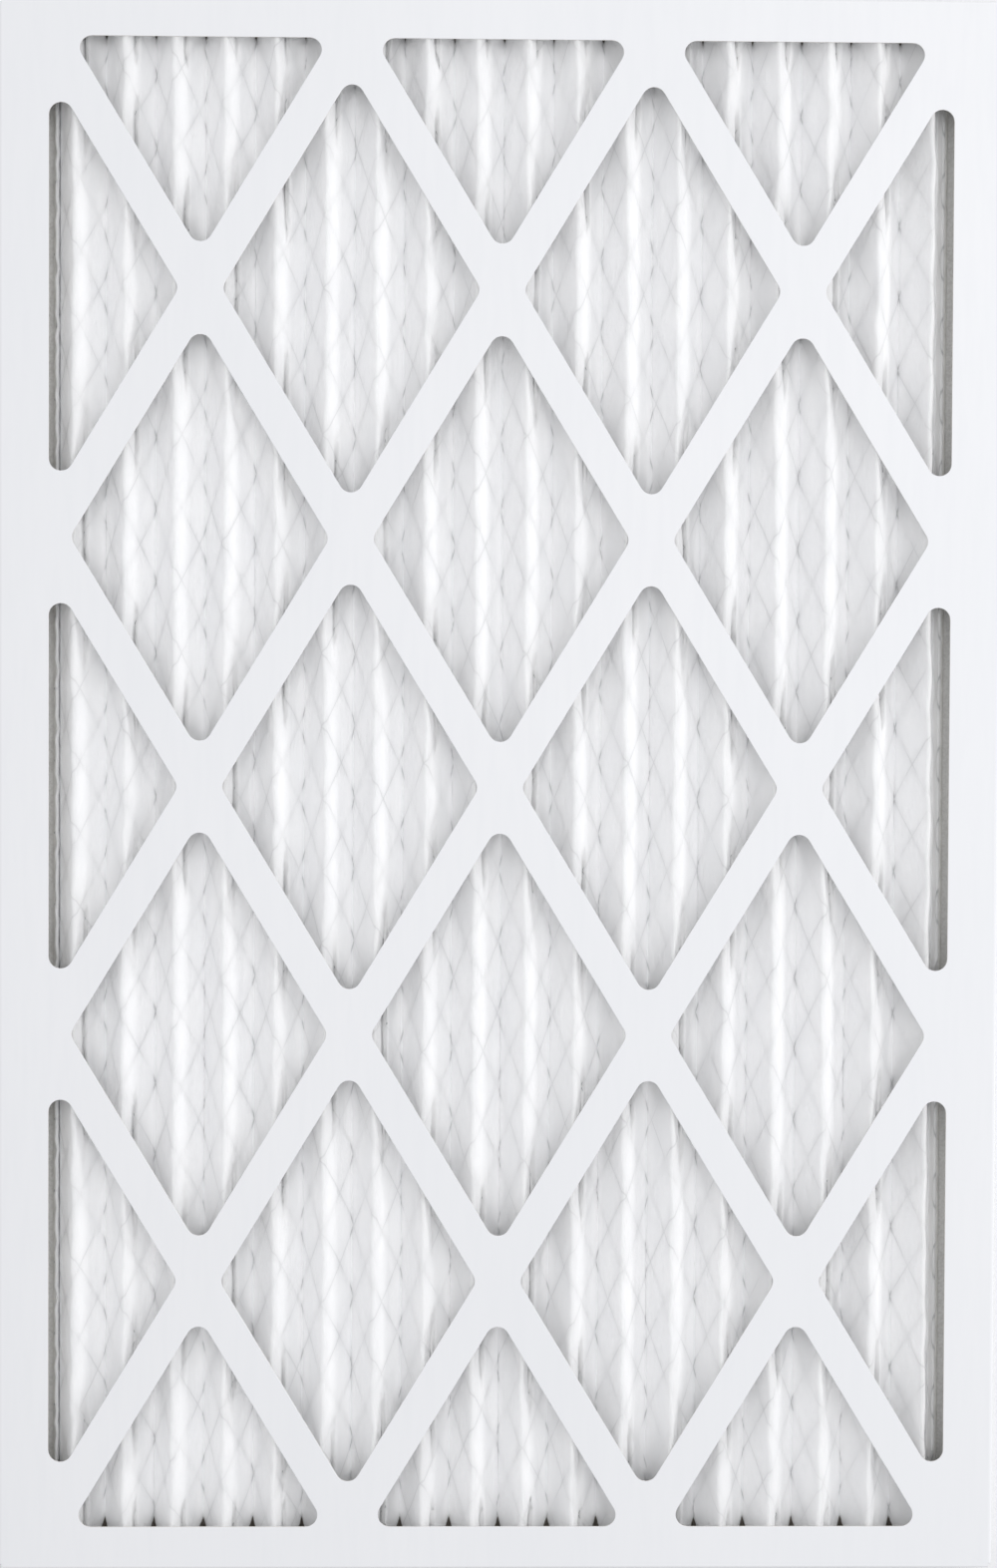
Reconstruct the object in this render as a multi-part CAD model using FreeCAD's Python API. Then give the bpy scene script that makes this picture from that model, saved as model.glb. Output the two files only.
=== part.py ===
import FreeCAD, Part
import math
import os

# Pleated panel air filter of the nominal 16 x 25 x 1 inch size, in millimetres.
# It lies flat with the face that the air enters up. X runs across the pleats, Y along them,
# +Z points out of the front face, and the origin is the centre of the rear face.

# Outside of the folded frame
width = 400.0
length = 628.6
depth = 19.0

# Two die-cut and folded boards, the rear one nested in the front one
board = 0.7
bend_radius = 0.5           # inside radius of each folded edge
glue_line = 0.1             # left between two layers that are glued together
side_border = 20.0
end_border = 17.0
front_wall_lift = 0.3       # the front walls end this far above the rear face
rear_wall_height = 15.0
flap_length = 26.0
flap_relief = 0.8           # left between a corner flap and the fold beside it

# Diamond grille of both boards
columns = 6                 # half diamonds across the window
rows = 6                    # half diamonds along the window
strap_width = 14.4
hole_corner_radius = 4.8

# Pleated media
pleats = 18
media_thickness = 1.0
crest_radius = 0.8          # inside radius of the folds that meet the front board
valley_radius = 0.5         # inside radius of the folds that meet the rear board
side_gap = 0.8              # from the window's edge in to the media's cut edge
foot = 1.3                  # width of the flat foot along that edge

# Expanded-metal backing, folded with the media
wire_thickness = 0.4
wire_strand = 2.0           # width of the strands in plan
gaps_per_flank = 3          # gaps along every other flank, and one fewer between them

# Adhesive beads
end_bead = 2.0              # thickness of the bead that closes the pleats' ends
side_bead_width = 1.4
side_bead_height = 1.2

# Turn of one facet of a round, in degrees: coarse, because the rounds repeat so often
hole_facet = 15.0
fold_facet = 22.5
pleat_facet = 31.0

# Sizes that follow from those above
window_width = width - 2 * side_border
window_length = length - 2 * end_border
cell_x = window_width / columns
cell_y = window_length / rows
rear_seat = board + glue_line
front_seat = depth - board - glue_line
rear_width = width - 2 * (board + glue_line)
rear_length = length - 4 * (board + glue_line)
rear_end_face = rear_length / 2 - board
rear_flap_face = rear_end_face - glue_line - board
media_half_length = rear_flap_face - glue_line - end_bead
half_pitch = window_width / pleats / 2
foot_end = window_width / 2 - side_gap


def in_xz(u, v):
    return FreeCAD.Vector(u, 0, v)


def in_yz(u, v):
    return FreeCAD.Vector(0, u, v)


def in_xy(u, v):
    return FreeCAD.Vector(u, v, 0)


def directions(points):
    """Unit direction of each leg of an open path of flat points."""
    legs = []
    for (u0, v0), (u1, v1) in zip(points, points[1:]):
        size = math.hypot(u1 - u0, v1 - v0)
        legs.append(((u1 - u0) / size, (v1 - v0) / size))
    return legs


def offset_path(points, distance):
    """The path moved to its left by distance, with mitred corners."""
    legs = directions(points)
    moved = []
    for k, (u, v) in enumerate(points):
        before = legs[max(k - 1, 0)]
        after = legs[min(k, len(legs) - 1)]
        normal = (-before[1] - after[1], before[0] + after[0])
        scale = distance / (1 + before[0] * after[0] + before[1] * after[1])
        moved.append((u + normal[0] * scale, v + normal[1] * scale))
    return moved


def rounded_points(points, radii, facet):
    """The path with a round of the given radius at each inner point.

    A round is drawn as an even number of chords that turn about facet degrees each.
    """
    legs = directions(points)
    rounded = [points[0]]
    for k, radius in enumerate(radii):
        before, after, corner = legs[k], legs[k + 1], points[k + 1]
        cross = before[0] * after[1] - before[1] * after[0]
        turn = math.atan2(cross, before[0] * after[0] + before[1] * after[1])
        chords = 2 * max(1, round(math.degrees(abs(turn)) / facet / 2))
        reach = radius * math.tan(abs(turn) / 2)
        start = (corner[0] - before[0] * reach, corner[1] - before[1] * reach)
        spoke = math.copysign(radius, turn)
        centre = (start[0] - before[1] * spoke, start[1] + before[0] * spoke)
        for c in range(chords + 1):
            angle = turn * c / chords
            along, out = spoke * math.sin(angle), -spoke * math.cos(angle)
            rounded.append((centre[0] + before[0] * along - before[1] * out,
                            centre[1] + before[1] * along + before[0] * out))
    rounded.append(points[-1])
    return rounded


def flat_face(points, place):
    corners = [place(*p) for p in points]
    return Part.Face(Part.makePolygon(corners + corners[:1]))


def folded_strip(points, fold_radii, low, high, facet, place):
    """Section of a sheet folded along a path: it lies from low to high on the path's left.

    Each fold radius is that of the path itself, so layers on one path stay concentric.
    """
    legs = directions(points)
    edges = []
    for distance in (low, high):
        radii = []
        for k, radius in enumerate(fold_radii):
            left_turn = legs[k][0] * legs[k + 1][1] > legs[k][1] * legs[k + 1][0]
            radii.append(radius - distance if left_turn else radius + distance)
        edges.append(rounded_points(offset_path(points, distance), radii, facet))
    return flat_face(edges[0] + edges[1][::-1], place)


def rounded_polygon(points, radius, facet, place):
    """Closed face through the points, with every corner rounded."""
    first = ((points[0][0] + points[-1][0]) / 2, (points[0][1] + points[-1][1]) / 2)
    loop = rounded_points([first] + points + [first], [radius] * len(points), facet)
    return flat_face(loop[:-1], place)


def grille_holes():
    """The diamonds between the straps, and the half diamonds along the window's edges."""
    diagonal = math.hypot(cell_x, cell_y)
    half_x = cell_x - strap_width / 2 * diagonal / cell_y
    half_y = cell_y - strap_width / 2 * diagonal / cell_x
    holes = []
    for i in range(columns + 1):
        for j in range(rows + 1):
            if (i + j) % 2 == 0:
                continue
            x = i * cell_x - window_width / 2
            y = j * cell_y - window_length / 2
            corners = []
            if i < columns:
                corners.append((x + half_x, y))
            if j < rows:
                corners.append((x, y + half_y))
            if i > 0:
                corners.append((x - half_x, y))
            if j > 0:
                corners.append((x, y - half_y))
            hole = rounded_polygon(corners, hole_corner_radius, hole_facet, in_xy)
            hole.translate(FreeCAD.Vector(0, 0, -board))
            holes.append(hole.extrude(FreeCAD.Vector(0, 0, 3 * board)))
    return holes


def frame_tray(outer_width, outer_length, wall_height):
    """One die-cut board, folded into a tray that lies on its grille with its walls up.

    The long walls end in flaps, folded round the corners and glued inside the short walls.
    """
    middle = board / 2
    fold = bend_radius + middle
    wall_x = outer_width / 2 - middle
    wall_y = outer_length / 2 - middle
    flap_y = wall_y - board - glue_line
    flat_x = outer_width / 2 - board - bend_radius
    straight_y = flap_y - middle - bend_radius
    flap_base = board + bend_radius + flap_relief

    across = [(-wall_x, wall_height), (-wall_x, middle), (wall_x, middle), (wall_x, wall_height)]
    long_walls = folded_strip(across, [fold, fold], -middle, middle, fold_facet, in_xz)
    long_walls.translate(FreeCAD.Vector(0, -straight_y, 0))
    tray = long_walls.extrude(FreeCAD.Vector(0, 2 * straight_y, 0))

    along = [(-wall_y, wall_height), (-wall_y, middle), (wall_y, middle), (wall_y, wall_height)]
    short_walls = folded_strip(along, [fold, fold], -middle, middle, fold_facet, in_yz)
    short_walls.translate(FreeCAD.Vector(-flat_x, 0, 0))
    tray = tray.fuse(short_walls.extrude(FreeCAD.Vector(2 * flat_x, 0, 0)))

    for side in (-1, 1):
        flap_x = side * (wall_x - flap_length)
        path = [(flap_x, -flap_y), (side * wall_x, -flap_y), (side * wall_x, flap_y), (flap_x, flap_y)]
        flaps = folded_strip(path, [fold, fold], -middle, middle, fold_facet, in_xy)
        flaps.translate(FreeCAD.Vector(0, 0, flap_base))
        tray = tray.fuse(flaps.extrude(FreeCAD.Vector(0, 0, wall_height - flap_base)))
    return tray.cut(grille_holes()).removeSplitter()


def front_frame():
    tray = frame_tray(width, length, depth - front_wall_lift)
    return tray.mirror(FreeCAD.Vector(0, 0, depth / 2), FreeCAD.Vector(0, 0, 1))


def rear_frame():
    return frame_tray(rear_width, rear_length, rear_wall_height)


def pleat_path():
    """The line between the media and its backing, from foot to foot, and its fold radii.

    The sharp corners of the zigzag stand beyond the folds, so their rise is found from
    the height between the seats, the thicknesses and the radii.
    """
    crest_fold = crest_radius + wire_thickness
    valley_fold = valley_radius + media_thickness
    low_line = rear_seat + wire_thickness
    high_line = front_seat - media_thickness
    folds = crest_fold + valley_fold
    net = high_line - low_line - folds
    spare = 1 - (folds / half_pitch) ** 2
    rise = (net + math.sqrt(net ** 2 - spare * (net ** 2 - folds ** 2))) / spare
    stretch = math.hypot(1, rise / half_pitch) - 1
    crest = high_line + crest_fold * stretch
    valley = low_line - valley_fold * stretch
    heel = foot_end - foot
    first_crest = half_pitch - window_width / 2

    points = [(-foot_end, low_line), (-heel, low_line)]
    radii = [valley_fold]
    for k in range(pleats):
        x = first_crest + 2 * k * half_pitch
        points.append((x, crest))
        radii.append(crest_fold)
        if k < pleats - 1:
            points.append((x + half_pitch, valley))
            radii.append(valley_fold)
    points.append((heel, low_line))
    radii.append(valley_fold)
    points.append((foot_end, low_line))
    return points, radii


def folded_sheet(low, high):
    points, radii = pleat_path()
    section = folded_strip(points, radii, low, high, pleat_facet, in_xz)
    section.translate(FreeCAD.Vector(0, -media_half_length, 0))
    return section.extrude(FreeCAD.Vector(0, 2 * media_half_length, 0))


def pleated_media():
    return folded_sheet(0, media_thickness)


def wire_backing():
    """The backing sheet, with one row of long six-sided gaps down each flank of the pleats."""
    sheet = folded_sheet(-wire_thickness, 0)
    gap_pitch = 2 * media_half_length / gaps_per_flank
    half_gap = gap_pitch / 2 - wire_strand
    half_x = half_pitch / 2 - wire_strand
    taper = gap_pitch / 4
    gaps = []
    for flank in range(2 * pleats):
        x = (flank + 0.5) * half_pitch - window_width / 2
        count = gaps_per_flank - flank % 2
        for m in range(count):
            y = (m - (count - 1) / 2) * gap_pitch
            upper = [(x + half_x, y + taper), (x, y + half_gap), (x - half_x, y + taper)]
            lower = [(x - half_x, y - taper), (x, y - half_gap), (x + half_x, y - taper)]
            gaps.append(flat_face(upper + lower, in_xy).extrude(FreeCAD.Vector(0, 0, depth)))
    return sheet.cut(gaps)


def end_bead_at(side):
    """Adhesive between the pleats' cut ends and the end wall, set back where the flaps are."""
    inner = media_half_length
    wall = rear_end_face - glue_line
    flap = rear_flap_face - glue_line
    neck = rear_width / 2 - board / 2 - flap_length - glue_line
    reach = foot_end + side_bead_width
    outline = [(-reach, inner), (reach, inner), (reach, flap), (neck, flap)]
    outline += [(neck, wall), (-neck, wall), (-neck, flap), (-reach, flap)]
    base = rear_seat + bend_radius
    bead = flat_face([(x, side * y) for x, y in outline], in_xy)
    bead.translate(FreeCAD.Vector(0, 0, base))
    return bead.extrude(FreeCAD.Vector(0, 0, front_seat - base))


def side_bead_at(side):
    """Rounded bead of adhesive along the media's foot, on the rear board's border."""
    outline = [(side * foot_end, rear_seat)]
    steps = round(90 / fold_facet)
    for k in range(steps + 1):
        angle = math.pi / 2 * k / steps
        reach = foot_end + side_bead_width * math.sin(angle)
        outline.append((side * reach, rear_seat + side_bead_height * math.cos(angle)))
    section = flat_face(outline, in_xz)
    section.translate(FreeCAD.Vector(0, -media_half_length, 0))
    return section.extrude(FreeCAD.Vector(0, 2 * media_half_length, 0))


nodes = {
    "front_frame": front_frame(),
    "rear_frame": rear_frame(),
    "pleated_media": pleated_media(),
    "wire_backing": wire_backing(),
    "top_end_bead": end_bead_at(1),
    "bottom_end_bead": end_bead_at(-1),
    "left_side_bead": side_bead_at(-1),
    "right_side_bead": side_bead_at(1),
}

os.makedirs("parts", exist_ok=True)
for name, shape in nodes.items():
    shape.exportStep("parts/" + name + ".step")
    box = shape.BoundBox
    print(name, "solids", len(shape.Solids), "valid", shape.isValid(), "volume", round(shape.Volume, 1))
    print("  from", [round(v, 2) for v in (box.XMin, box.YMin, box.ZMin)])
    print("  to  ", [round(v, 2) for v in (box.XMax, box.YMax, box.ZMax)])
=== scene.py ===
import math

import bpy
import numpy as np
from mathutils import Matrix, Vector, noise

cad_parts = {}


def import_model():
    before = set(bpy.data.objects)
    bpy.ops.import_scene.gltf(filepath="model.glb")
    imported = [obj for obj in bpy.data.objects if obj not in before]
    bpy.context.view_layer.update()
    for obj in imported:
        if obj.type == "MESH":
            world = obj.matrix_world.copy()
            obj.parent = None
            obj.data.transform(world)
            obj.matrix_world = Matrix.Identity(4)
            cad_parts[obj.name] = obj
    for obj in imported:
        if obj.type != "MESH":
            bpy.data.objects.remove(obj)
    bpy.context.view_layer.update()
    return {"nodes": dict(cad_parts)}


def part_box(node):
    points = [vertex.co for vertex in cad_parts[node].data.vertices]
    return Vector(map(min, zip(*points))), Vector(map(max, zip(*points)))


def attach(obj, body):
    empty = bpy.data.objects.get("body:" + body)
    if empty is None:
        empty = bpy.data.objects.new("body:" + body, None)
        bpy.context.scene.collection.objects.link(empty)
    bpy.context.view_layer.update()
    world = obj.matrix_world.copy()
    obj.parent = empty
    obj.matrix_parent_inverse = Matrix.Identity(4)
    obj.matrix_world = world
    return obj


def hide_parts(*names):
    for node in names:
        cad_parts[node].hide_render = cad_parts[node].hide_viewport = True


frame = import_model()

# Pleated panel air filter, lying with its front face up. Metres, in the frame of the CAD model:
# X runs across the pleats, Y along them, and +Z points out of the front face.

MM = 0.001

# Grille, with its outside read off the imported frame
SIDE_BORDER = 20 * MM
END_BORDER = 17 * MM
STRAP = 14.4 * MM
HALF_DIAMONDS = 6               # across the window, and as many along it
outer_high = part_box("front_frame")[1]
WINDOW_X = outer_high.x - SIDE_BORDER
WINDOW_Y = outer_high.y - END_BORDER
CELL_X = 2 * WINDOW_X / HALF_DIAMONDS
CELL_Y = 2 * WINDOW_Y / HALF_DIAMONDS

# Media
media_low, media_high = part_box("pleated_media")
PLEATS = 18
HALF_PITCH = WINDOW_X / PLEATS
MEDIA_THICKNESS = 1.0 * MM
FOOT = 1.3 * MM
CREST_RADIUS = 0.7 * MM
VALLEY_RADIUS = 0.7 * MM
CLOTH_ROWS = 134                # faces along a pleat
CREST_PARTS = 5                 # faces round a crest and round a valley
VALLEY_PARTS = 3
FALLING_PARTS = 8               # faces down the flank that creases, and down the other
RISING_PARTS = 4

# Creases beside the straps: how far the sheet stands out at each share of the flank
CREASE_AT = (0.0, 0.125, 0.25, 0.375, 0.5, 0.75, 1.0)
CREASE = (0.0, -1.3 * MM, -4.2 * MM, 1.9 * MM, 1.1 * MM, 0.2 * MM, 0.0)
CREASE_REACH = 12 * MM

# A crest is held under a strap and free of it this far out
HELD_UNDER = 4 * MM
FREE_OVER = 14 * MM
LAST_PLEAT_LEAN = 1.5
CURL_PITCH = 11.5 * MM          # of the scallops in the cut edge on the left

# Painted shade in the grooves at the pleats' ends, under the end borders, from this far out along Y
END_SHADE_START = 298.0 * MM
END_SHADE_CENTRE = 0.9 * MM

# Expanded-metal backing
STRAND_WIDTH = 0.6 * MM
STRAND_THICKNESS = 0.3 * MM
STRAND_PARTS = 8
DIAMOND_LENGTH = 29.0 * MM
DIAMOND_WIDTH = 22.0 * MM

# Colours
COATED = (0.875, 0.88, 0.90, 1)
COATED_CLOUD = (0.858, 0.866, 0.888, 1)
COATED_FIBRE = (0.83, 0.84, 0.865, 1)
UNCOATED = (0.84, 0.84, 0.83, 1)
UNCOATED_SPECK = (0.72, 0.715, 0.70, 1)
UNCOATED_FIBRE = (0.86, 0.86, 0.85, 1)
CUT_EDGE = (0.80, 0.775, 0.72, 1)
CLOTH = (0.972, 0.972, 0.975, 1)
CLOTH_TUFT = (0.952, 0.953, 0.958, 1)
# Painted shade of the backing's strands seen through the media, and of the groove bottoms
STRAND_SHADE = (0.42, 0.425, 0.435, 1)
# Painted shade of the groove ends under the end borders
GROOVE_END_SHADE = (0.19, 0.17, 0.15, 1)
METAL = (0.62, 0.63, 0.64, 1)
METAL_DULL = (0.48, 0.49, 0.50, 1)
ADHESIVE = (0.93, 0.928, 0.915, 1)
ADHESIVE_DULL = (0.80, 0.797, 0.78, 1)
FLOOR = (0.86, 0.86, 0.865, 1)
FLOOR_CLOUD = (0.88, 0.88, 0.885, 1)
DAYLIGHT = (0.98, 0.985, 1.0, 1)

# A face counts as facing a direction when its normal's share along it is over this
FACES_IT = 0.3

# Each seed moves the noise by this much, so that no two waves are alike
SEED_STEP = (13.7, -7.1, 3.3)


def wave(seed, *place):
    """Smooth noise from -1 to 1."""
    padded = (*place, 0.0, 0.0)[:3]
    return noise.noise(Vector([p + seed * step for p, step in zip(padded, SEED_STEP)]))


def new_object(name, data):
    piece = bpy.data.objects.new(name, data)
    bpy.context.scene.collection.objects.link(piece)
    return piece


# Materials

class Nodes:
    """A material's node tree, with short calls for what the materials here need."""

    def __init__(self, name):
        self.material = bpy.data.materials.new(name)
        self.material.use_nodes = True
        self.tree = self.material.node_tree
        self.tree.nodes.clear()
        self.output = self.tree.nodes.new("ShaderNodeOutputMaterial")
        self.shader = self.tree.nodes.new("ShaderNodeBsdfPrincipled")
        self.link(self.shader.outputs[0], self.output.inputs["Surface"])

    def link(self, source, target):
        self.tree.links.new(source, target)

    def put(self, node, key, value):
        """Feed an input from a socket, or set it to a plain value."""
        if isinstance(value, bpy.types.NodeSocket):
            self.link(value, node.inputs[key])
        else:
            node.inputs[key].default_value = value

    def add(self, kind, inputs=None, **settings):
        node = self.tree.nodes.new(kind)
        for key, value in settings.items():
            setattr(node, key, value)
        for key, value in (inputs or {}).items():
            self.put(node, key, value)
        return node

    def surface(self, **inputs):
        """Set inputs of the Principled shader, by their names with spaces as underscores."""
        for key, value in inputs.items():
            self.put(self.shader, key.replace("_", " "), value)

    def place(self):
        return self.add("ShaderNodeTexCoord").outputs["Object"]

    def math(self, operation, a, b=0.0):
        return self.add("ShaderNodeMath", {0: a, 1: b}, operation=operation).outputs[0]

    def ramp(self, value, low, high, to_low=0.0, to_high=1.0):
        inputs = {"Value": value, "From Min": low, "From Max": high, "To Min": to_low, "To Max": to_high}
        return self.add("ShaderNodeMapRange", inputs, interpolation_type="SMOOTHSTEP").outputs[0]

    def blend(self, share, first, second):
        inputs = {0: share, 6: first, 7: second}
        return self.add("ShaderNodeMix", inputs, data_type="RGBA").outputs[2]

    def grain(self, vector, scale, stretch=(1, 1, 1), detail=3.0, roughness=0.5):
        mapping = self.add("ShaderNodeMapping", {"Vector": vector, "Scale": stretch})
        inputs = {"Vector": mapping.outputs[0], "Scale": scale, "Detail": detail, "Roughness": roughness}
        return self.add("ShaderNodeTexNoise", inputs).outputs[0]

    def bump(self, height, distance, strength):
        inputs = {"Height": height, "Distance": distance, "Strength": strength}
        return self.add("ShaderNodeBump", inputs).outputs[0]


def board_material(name, outer_face):
    """White board, coated on its outer side, with a plain inner side and cut edges of bare fibre.

    outer_face is +1 where the coated face points up and -1 where it points down.
    """
    n = Nodes(name)
    place = n.place()
    geometry = n.add("ShaderNodeNewGeometry")
    facing = n.add("ShaderNodeSeparateXYZ", {0: geometry.outputs["True Normal"]})
    where = n.add("ShaderNodeSeparateXYZ", {0: geometry.outputs["Position"]})
    outward = n.math("MULTIPLY", facing.outputs[0], n.math("SIGN", where.outputs[0]))
    endward = n.math("MULTIPLY", facing.outputs[1], n.math("SIGN", where.outputs[1]))
    upward = n.math("MULTIPLY", facing.outputs[2], outer_face)
    in_window_x = n.math("LESS_THAN", n.math("ABSOLUTE", where.outputs[0]), WINDOW_X + 1 * MM)
    in_window_y = n.math("LESS_THAN", n.math("ABSOLUTE", where.outputs[1]), WINDOW_Y + 1 * MM)
    in_window = n.math("MULTIPLY", in_window_x, in_window_y)
    side = n.math("MAXIMUM", outward, endward)
    outer = n.math("MAXIMUM", upward, n.math("SUBTRACT", side, in_window))
    coated = n.math("GREATER_THAN", outer, FACES_IT)
    inner = n.math("GREATER_THAN", n.math("MULTIPLY", upward, -1.0), FACES_IT)
    walled = n.math("GREATER_THAN", n.math("MULTIPLY", side, -1.0), FACES_IT)
    walled = n.math("MULTIPLY", walled, n.math("SUBTRACT", 1.0, in_window))
    inner = n.math("MAXIMUM", inner, walled)

    fibres = n.grain(place, 260.0, stretch=(1.0, 0.12, 1.0), detail=4.0, roughness=0.6)
    clouds = n.grain(place, 9.0, stretch=(1.0, 0.35, 1.0))
    specks = n.grain(place, 900.0, detail=2.0)
    white = n.blend(n.ramp(clouds, 0.3, 0.7), COATED, COATED_CLOUD)
    white = n.blend(n.ramp(fibres, 0.35, 0.75, 0.0, 0.35), white, COATED_FIBRE)
    plain = n.blend(n.ramp(specks, 0.35, 0.7), UNCOATED, UNCOATED_SPECK)
    plain = n.blend(n.ramp(fibres, 0.3, 0.8, 0.0, 0.6), plain, UNCOATED_FIBRE)
    colour = n.blend(coated, n.blend(inner, CUT_EDGE, plain), white)
    rough = n.math("ADD", n.math("MULTIPLY", coated, -0.35), 0.85)
    rough = n.math("ADD", rough, n.ramp(fibres, 0.2, 0.8, -0.04, 0.06))
    height = n.math("ADD", n.math("MULTIPLY", fibres, 0.6), n.math("MULTIPLY", clouds, 2.0))
    bump = n.bump(height, 0.05 * MM, 0.35)
    n.surface(Base_Color=colour, Roughness=rough, Specular_IOR_Level=0.35, Normal=bump)
    return n.material


def media_material():
    """White nonwoven: matt, fibrous and translucent, with painted shade of its backing's strands showing
    through it, painted shade along the groove bottoms and painted shade at the groove ends.
    """
    n = Nodes("nonwoven_media")
    unfolded = n.add("ShaderNodeUVMap", uv_map="unfolded").outputs[0]
    place = n.place()
    spread = n.add("ShaderNodeSeparateXYZ", {0: unfolded})
    across, along = spread.outputs[0], spread.outputs[1]
    spot = n.add("ShaderNodeSeparateXYZ", {0: place})
    level = spot.outputs[2]

    # Painted shade of the backing's strands seen through the sheet, as two families of slanted lines in
    # the unfolded sheet
    warp = n.grain(unfolded, 30.0, detail=2.0)
    shift = n.math("MULTIPLY", n.math("SUBTRACT", warp, 0.5), 0.06)
    u = n.math("ADD", n.math("DIVIDE", across, DIAMOND_WIDTH), shift)
    v = n.math("ADD", n.math("DIVIDE", along, DIAMOND_LENGTH), shift)
    distances = []
    for side in (1.0, -1.0):
        phase = n.math("ADD", u, n.math("MULTIPLY", v, side))
        distances.append(n.math("PINGPONG", phase, 0.5))

    def strands(width):
        """1 in the middle of each strand, falling to 0 at this share of a diamond."""
        return n.math("MAXIMUM", *[n.ramp(distance, 0.0, width, 1.0, 0.0) for distance in distances])

    patches = n.ramp(n.grain(unfolded, 45.0, detail=1.0), 0.4, 0.65, 0.0, 0.2)
    painted_strand_shade = n.math("MULTIPLY", strands(0.03), patches)
    # Painted shade along the groove bottoms, deeper over the strands beneath them
    valley = n.ramp(level, media_low.z + 1.0 * MM, media_low.z + 2.4 * MM, 1.0, 0.0)
    painted_valley_shade = n.math("ADD", n.math("MULTIPLY", strands(0.055), 0.45), 0.08)
    painted_valley_shade = n.math("MULTIPLY", valley, painted_valley_shade)

    # Painted shade in the groove bottoms under the end borders: it stands higher in the grooves the
    # nearer they come to the pleats' ends
    end_distance = n.math("ABSOLUTE", n.math("SUBTRACT", spot.outputs[1], END_SHADE_CENTRE))
    past = n.math("SUBTRACT", end_distance, END_SHADE_START)
    reach = n.math("ADD", n.math("MULTIPLY", past, 0.6), media_low.z + 0.5 * MM)
    ragged = n.math("SUBTRACT", n.grain(place, 420.0, detail=1.0), 0.5)
    reach = n.math("ADD", reach, n.math("MULTIPLY", ragged, 1.2 * MM))
    painted_end_shade = n.ramp(n.math("SUBTRACT", reach, level), -0.3 * MM, 0.5 * MM)

    fibres = n.grain(place, 700.0, stretch=(1.0, 0.5, 1.0), roughness=0.65)
    wrinkles = n.grain(place, 330.0, stretch=(1.0, 0.5, 1.0), detail=1.0)
    tufts = n.grain(place, 110.0, stretch=(1.0, 0.35, 1.0), detail=2.0)
    colour = n.blend(n.ramp(tufts, 0.3, 0.7), CLOTH, CLOTH_TUFT)
    # Painted shade of the backing's strands and along the groove bottoms
    colour = n.blend(n.math("MAXIMUM", painted_strand_shade, painted_valley_shade), colour, STRAND_SHADE)
    # Painted shade at the groove ends under the end borders
    colour = n.blend(painted_end_shade, colour, GROOVE_END_SHADE)
    height = n.math("ADD", n.math("MULTIPLY", fibres, 0.25), tufts)
    height = n.math("ADD", height, n.math("MULTIPLY", wrinkles, 0.9))
    bump = n.bump(height, 0.7 * MM, 0.75)
    n.surface(Base_Color=colour, Roughness=0.95, Specular_IOR_Level=0.15, Normal=bump)
    n.surface(Sheen_Weight=0.1, Sheen_Roughness=0.6)
    through = n.add("ShaderNodeBsdfTranslucent", {"Color": colour, "Normal": bump})
    # The cut edge in the left slot is crushed dense, so less light passes through it
    share = n.ramp(spot.outputs[0], media_low.x + 0.8 * FOOT, media_low.x + 1.6 * FOOT, 0.04, 0.42)
    mix = n.add("ShaderNodeMixShader", {0: share, 1: n.shader.outputs[0], 2: through.outputs[0]})
    n.link(mix.outputs[0], n.output.inputs["Surface"])
    return n.material


def metal_material():
    """Bright galvanised strand, slightly dulled."""
    n = Nodes("expanded_metal")
    clouds = n.grain(n.place(), 120.0)
    colour = n.blend(n.ramp(clouds, 0.3, 0.7), METAL, METAL_DULL)
    rough = n.ramp(clouds, 0.2, 0.8, 0.28, 0.45)
    n.surface(Base_Color=colour, Metallic=1.0, Roughness=rough, Normal=n.bump(clouds, 0.04 * MM, 0.4))
    return n.material


def adhesive_material():
    """Set hot-melt adhesive, nearly white and faintly glossy."""
    n = Nodes("set_adhesive")
    blobs = n.grain(n.place(), 160.0, detail=2.0)
    colour = n.blend(n.ramp(blobs, 0.3, 0.7), ADHESIVE, ADHESIVE_DULL)
    n.surface(Base_Color=colour, Roughness=0.38, Normal=n.bump(blobs, 0.4 * MM, 0.6))
    return n.material


def floor_material():
    n = Nodes("pale_floor")
    colour = n.blend(n.grain(n.place(), 3.0, detail=2.0), FLOOR, FLOOR_CLOUD)
    n.surface(Base_Color=colour, Roughness=0.9)
    return n.material


# The folded sheet

def pleat_corners():
    """Sharp corners of the media's middle line: foot, crests and valleys, as (x, z)."""
    low = media_low.z + MEDIA_THICKNESS / 2
    high = media_high.z - MEDIA_THICKNESS / 2
    folds = CREST_RADIUS + VALLEY_RADIUS
    net = high - low - folds
    spare = 1 - (folds / HALF_PITCH) ** 2
    rise = (net + math.sqrt(net ** 2 - spare * (net ** 2 - folds ** 2))) / spare
    stretch = math.hypot(1, rise / HALF_PITCH) - 1
    crest = high + CREST_RADIUS * stretch
    valley = low - VALLEY_RADIUS * stretch
    edge = media_high.x
    corners = [(-edge, low), (FOOT - edge, low)]
    for k in range(2 * PLEATS - 1):
        x = (k + 1) * HALF_PITCH - WINDOW_X
        corners.append((x, valley if k % 2 else crest))
    corners += [(edge - FOOT, low), (edge, low)]
    return corners


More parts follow.
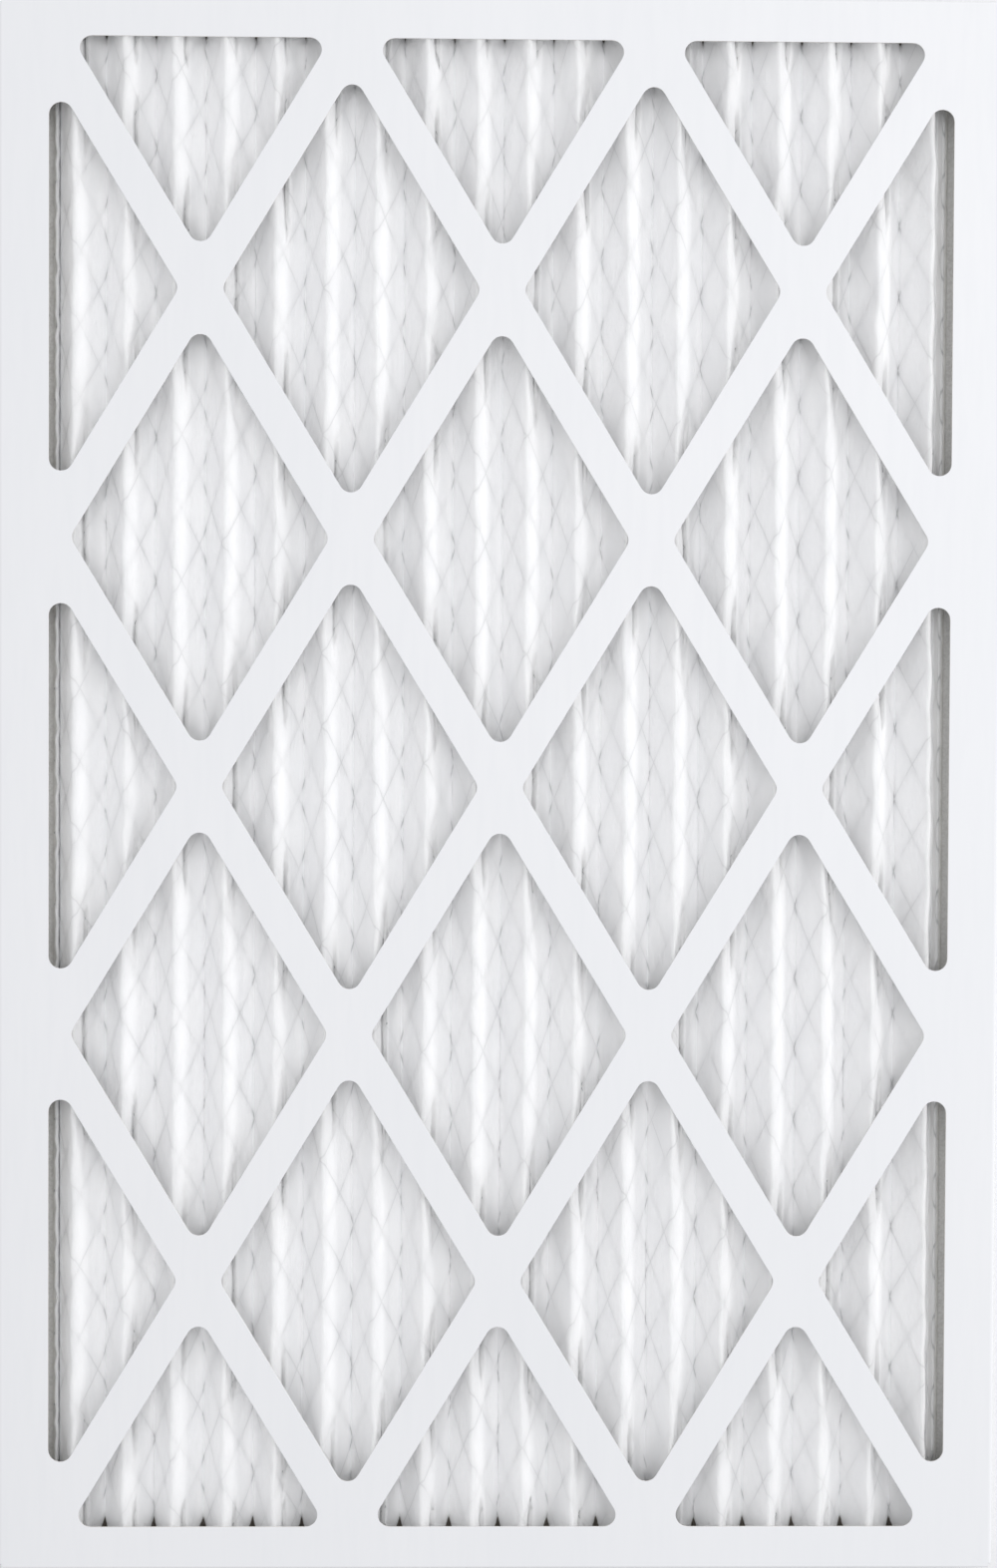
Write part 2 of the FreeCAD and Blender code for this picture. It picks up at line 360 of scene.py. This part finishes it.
def profile():
    """Points of the rounded middle line, as (x, z, share of the right-hand flank or -1).

    The share runs from 0 at the crest to 1 at the valley of a flank that falls to the right.
    """
    corners = [Vector(c) for c in pleat_corners()]
    line = [(corners[0].lerp(corners[1], share), -1.0) for share in (0.0, 0.35, 0.7)]
    for before, corner, after in zip(corners, corners[1:], corners[2:]):
        a = (corner - before).normalized()
        b = (after - corner).normalized()
        turn = math.atan2(a.x * b.y - a.y * b.x, a.dot(b))
        falls = turn < 0
        radius, next_radius = (CREST_RADIUS, VALLEY_RADIUS) if falls else (VALLEY_RADIUS, CREST_RADIUS)
        reach = radius * math.tan(abs(turn) / 2)
        centre = corner - a * reach + Vector((-a.y, a.x)) * math.copysign(radius, turn)
        spoke = corner - a * reach - centre
        steps = CREST_PARTS if falls else VALLEY_PARTS
        for s in range(steps + 1):
            angle = turn * s / steps
            turned = Vector((spoke.x * math.cos(angle) - spoke.y * math.sin(angle),
                             spoke.x * math.sin(angle) + spoke.y * math.cos(angle)))
            line.append((centre + turned, -1.0))
        if after is corners[-1]:
            break
        start = line[-1][0]
        goal = after - b * next_radius * reach / radius
        parts = FALLING_PARTS if falls else RISING_PARTS
        for s in range(1, parts):
            line.append((start.lerp(goal, s / parts), s / parts if falls else -1.0))
    line.append((corners[-1], -1.0))
    return line


def strap_distance(x, y):
    """Distance in plan from the nearest strap's edge: negative under a strap or border."""
    u, v = x / CELL_X, y / CELL_Y
    spacing = CELL_X * CELL_Y / math.hypot(CELL_X, CELL_Y)
    nearest = min(abs((u + side * v + 1) % 2 - 1) for side in (1, -1))
    inside = min(WINDOW_X - abs(x), WINDOW_Y - abs(y))
    return min(nearest * spacing - STRAP / 2, inside)


def moved(x, z, y, share_of_flank):
    """Where handling, the backing's strands and the straps have moved a point of the sheet.

    Leans and nicks are worked out in millimetres, from waves of noise that differ by pleat.
    """
    low, high = media_low.z, media_high.z
    number = math.floor((x + WINDOW_X) / (2 * HALF_PITCH))
    crest = ((z - low) / (high - low)) ** 1.5
    away = strap_distance(x, y)
    free = max(0.0, min(1.0, (away + HELD_UNDER) / FREE_OVER))
    lean = 0.6 * wave(1, number * 3.1, y / 0.11) + 0.4 * wave(2, number * 5.3, y / 0.035)
    lean += 0.3 * math.cos(2 * math.pi * y / DIAMOND_LENGTH + number * 2.0)
    nick = 0.35 * wave(3, number * 7.7, y / 0.009)
    dx = crest * (lean + nick * (0.3 + 0.7 * free)) * MM
    if abs(x) < WINDOW_X - HALF_PITCH:
        dx += (1 - crest) * (0.8 + 0.25 * wave(4, number * 2.3, y / 0.05)) * MM
    dz = crest * free * (0.35 + 0.3 * wave(6, number * 4.1, y / 0.02)) * MM
    dz -= (1 - free) * crest * 0.05 * MM
    if number == PLEATS - 1:
        dx += LAST_PLEAT_LEAN * crest * MM
    if share_of_flank > 0:
        pinch = max(0.0, min(1.0, 1 - away / CREASE_REACH))
        pinch *= 1 + 0.35 * wave(7, number * 1.7, y / 0.03)
        pinch *= 0.9 + 0.6 * wave(9, number * 6.1, x / 0.06, y / 0.08)
        dz += float(np.interp(share_of_flank, CREASE_AT, CREASE)) * pinch
    curl = max(0.0, 1 - (x - media_low.x) / FOOT)
    if curl > 0:
        scallop = abs(math.sin(math.pi * y / CURL_PITCH + wave(8, y / 0.05)))
        dx = (1.3 - 1.0 * scallop ** 0.5) * curl * MM
        dz = (3.6 + 1.2 * scallop ** 0.5) * curl ** 1.2 * MM
    return x + dx, z + dz


def middle_surface(line, length):
    """Grid of the media's moved middle points, and the sheet's normal at each."""
    middle = np.zeros((CLOTH_ROWS + 1, len(line), 3))
    for r in range(CLOTH_ROWS + 1):
        y = -media_high.y + length * r / CLOTH_ROWS
        for c, (p, share_of_flank) in enumerate(line):
            x, z = moved(p.x, p.y, y, share_of_flank)
            middle[r, c] = (x, y, z)
    across = np.gradient(middle, axis=1)
    along = np.gradient(middle, axis=0)
    normal = np.cross(across, along)
    normal /= np.linalg.norm(normal, axis=2)[:, :, None]
    return middle, normal


def build_media():
    """The media as one closed sheet of even thickness, with its unfolded place as its UV map."""
    line = profile()
    run = [0.0]
    for (p, _), (q, _) in zip(line, line[1:]):
        run.append(run[-1] + (q - p).length)
    length = 2 * media_high.y
    middle, normal = middle_surface(line, length)
    top = middle + normal * MEDIA_THICKNESS / 2
    bottom = middle - normal * MEDIA_THICKNESS / 2
    points = np.concatenate([top.reshape(-1, 3), bottom.reshape(-1, 3)])
    columns = len(line)
    count = (CLOTH_ROWS + 1) * columns

    def at(r, c, layer):
        return layer * count + r * columns + c

    faces = []
    for r in range(CLOTH_ROWS):
        for c in range(columns - 1):
            faces.append((at(r, c, 0), at(r, c + 1, 0), at(r + 1, c + 1, 0), at(r + 1, c, 0)))
            faces.append((at(r, c, 1), at(r + 1, c, 1), at(r + 1, c + 1, 1), at(r, c + 1, 1)))
    last = CLOTH_ROWS
    for c in range(columns - 1):
        faces.append((at(0, c, 0), at(0, c, 1), at(0, c + 1, 1), at(0, c + 1, 0)))
        faces.append((at(last, c, 0), at(last, c + 1, 0), at(last, c + 1, 1), at(last, c, 1)))
    last = columns - 1
    for r in range(CLOTH_ROWS):
        faces.append((at(r, 0, 0), at(r + 1, 0, 0), at(r + 1, 0, 1), at(r, 0, 1)))
        faces.append((at(r, last, 0), at(r, last, 1), at(r + 1, last, 1), at(r + 1, last, 0)))
    mesh = bpy.data.meshes.new("folded_media")
    mesh.from_pydata(points.tolist(), [], faces)
    layer = mesh.uv_layers.new(name="unfolded")
    corner = np.zeros(len(mesh.loops), dtype=np.int64)
    mesh.loops.foreach_get("vertex_index", corner)
    corner %= count
    place = np.stack([np.array(run)[corner % columns], (corner // columns) * length / CLOTH_ROWS], 1)
    layer.data.foreach_set("uv", place.astype(np.float32).ravel())
    mesh.polygons.foreach_set("use_smooth", [True] * len(mesh.polygons))
    mesh.update()
    piece = new_object("folded_media", mesh)
    piece.data.materials.append(media_material())
    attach(piece, "root")
    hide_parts("pleated_media")
    return middle, normal, np.array(run)


def add_strand(samples, points, faces):
    """One flat closed strand along the samples, each a place and the sheet's normal there."""
    first = len(points)
    for k, (place, up) in enumerate(samples):
        ahead = samples[min(k + 1, len(samples) - 1)][0]
        behind = samples[max(k - 1, 0)][0]
        sideways = np.cross(up, ahead - behind)
        sideways *= STRAND_WIDTH / 2 / np.linalg.norm(sideways)
        thick = up * STRAND_THICKNESS / 2
        points += [place + sideways + thick, place - sideways + thick,
                   place - sideways - thick, place + sideways - thick]
    for k in range(len(samples) - 1):
        base = first + 4 * k
        for e in range(4):
            f = (e + 1) % 4
            faces.append((base + e, base + f, base + 4 + f, base + 4 + e))
    last = first + 4 * (len(samples) - 1)
    faces.append((first + 3, first + 2, first + 1, first))
    faces.append((last, last + 1, last + 2, last + 3))


def build_backing(middle, normal, run):
    """Strands of the expanded metal, laid along the rear side of the folded media."""
    rows = len(middle)
    length = 2 * media_high.y
    drop = MEDIA_THICKNESS / 2 + STRAND_THICKNESS / 2

    def at(u, v):
        """Place on the sheet's rear side, and its normal, at a place of the unfolded sheet."""
        column = min(max(np.searchsorted(run, u) - 1, 0), len(run) - 2)
        s = (u - run[column]) / (run[column + 1] - run[column])
        row = min(int(v / length * (rows - 1)), rows - 2)
        t = v / length * (rows - 1) - row
        weights = ((row, column, (1 - s) * (1 - t)), (row, column + 1, s * (1 - t)),
                   (row + 1, column, (1 - s) * t), (row + 1, column + 1, s * t))
        place = sum(middle[r, c] * w for r, c, w in weights)
        up = sum(normal[r, c] * w for r, c, w in weights)
        up = up / np.linalg.norm(up)
        return place - up * drop, up

    points, faces = [], []
    half_u, half_v = DIAMOND_WIDTH / 2, DIAMOND_LENGTH / 2
    for i in range(int(run[-1] / half_u) + 1):
        for j in range(-1, int(length / half_v) + 2):
            if (i + j) % 2:
                continue
            for side in (1, -1):
                samples = []
                for s in range(STRAND_PARTS + 1):
                    u = (i + s / STRAND_PARTS) * half_u
                    v = (j + side * s / STRAND_PARTS) * half_v
                    if 0 <= u <= run[-1] and 0 <= v <= length:
                        samples.append(at(u, v))
                if len(samples) >= 2:
                    add_strand(samples, points, faces)
    mesh = bpy.data.meshes.new("expanded_metal")
    mesh.from_pydata([tuple(p) for p in points], [], faces)
    mesh.update()
    piece = new_object("expanded_metal", mesh)
    piece.data.materials.append(metal_material())
    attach(piece, "root")
    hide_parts("wire_backing")


# The solids that stay

def dress(name, material):
    piece = frame["nodes"][name]
    piece.data.materials.clear()
    piece.data.materials.append(material)
    return piece


def bruise_edges(piece):
    """Weld the facets, then round the board's cut edges a little."""
    weld = piece.modifiers.new("weld", "WELD")
    weld.merge_threshold = 0.001 * MM
    bevel = piece.modifiers.new("bruised_edges", "BEVEL")
    bevel.width = 0.45 * MM
    bevel.segments = 2
    bevel.limit_method = "ANGLE"
    bevel.angle_limit = math.radians(50)


# Floor, light and camera

def floor():
    """Pale table top with an opening under the filter, through which it is lit from behind."""
    margin, far, drop = 10 * MM, 3.0, 0.2 * MM
    corners = []
    for reach_x, reach_y in ((outer_high.x - margin, outer_high.y - margin), (far, far)):
        for x, y in ((-1, -1), (1, -1), (1, 1), (-1, 1)):
            corners.append((x * reach_x, y * reach_y, -drop))
    faces = [(k, 4 + k, 4 + (k + 1) % 4, (k + 1) % 4) for k in range(4)]
    mesh = bpy.data.meshes.new("floor")
    mesh.from_pydata(corners, [], faces)
    piece = new_object("floor", mesh)
    piece.data.materials.append(floor_material())


def softbox(name, azimuth, elevation, distance, size, power):
    """Area light aimed at the filter's centre. Azimuth 0 stands at +X and 90 at +Y."""
    a, e = math.radians(azimuth), math.radians(elevation)
    place = Vector((math.cos(a) * math.cos(e), math.sin(a) * math.cos(e), math.sin(e))) * distance
    data = bpy.data.lights.new(name, "AREA")
    data.shape = "RECTANGLE"
    data.size, data.size_y = size
    data.energy = power
    lamp = new_object(name, data)
    lamp.location = place
    lamp.rotation_euler = (-place).to_track_quat("-Z", "Y").to_euler()


def camera():
    """Almost overhead. Its tilts come from the grille's edges in the photograph.

    Its distance also rests on the assumed depth of the pleats below the grille.
    """
    data = bpy.data.cameras.new("camera")
    focal_pixels, long_side, sensor = 2800, 1572, 36.0
    data.sensor_width = sensor
    data.lens = focal_pixels * sensor / long_side
    data.clip_start = 0.01
    piece = new_object("camera", data)
    tilt = [math.radians(angle) for angle in (1.4572, 1.1148, -0.2423)]
    turn = (Matrix.Rotation(-tilt[0], 4, "X") @ Matrix.Rotation(-tilt[1], 4, "Y")
            @ Matrix.Rotation(-tilt[2], 4, "Z"))
    piece.matrix_world = Matrix.Translation((-0.022338, 0.02993, 1.134391)) @ turn
    bpy.context.scene.camera = piece


def world():
    studio = bpy.data.worlds.new("studio")
    studio.use_nodes = True
    background = studio.node_tree.nodes["Background"]
    background.inputs["Color"].default_value = DAYLIGHT
    background.inputs["Strength"].default_value = 0.69
    bpy.context.scene.world = studio


grid = build_media()
build_backing(*grid)
bruise_edges(dress("front_frame", board_material("front_board", 1.0)))
bruise_edges(dress("rear_frame", board_material("rear_board", -1.0)))
glue = adhesive_material()
for bead in ("top_end_bead", "bottom_end_bead", "left_side_bead", "right_side_bead"):
    dress(bead, glue)

floor()
softbox("key", 9, 24, 1.5, (0.9, 0.4), 6.3)
softbox("overhead", 50, 72, 1.6, (0.8, 0.8), 4.6)
softbox("fill", 180, 65, 2.0, (0.8, 0.5), 1.5)
softbox("backlight", 180, -65, 1.2, (1.0, 0.6), 7.0)
softbox("table", 0, -89.9, 1.0, (1.6, 1.6), 5.0)
camera()
world()
bpy.context.scene.view_settings.view_transform = "Standard"
bpy.context.scene.cycles.diffuse_bounces = 6
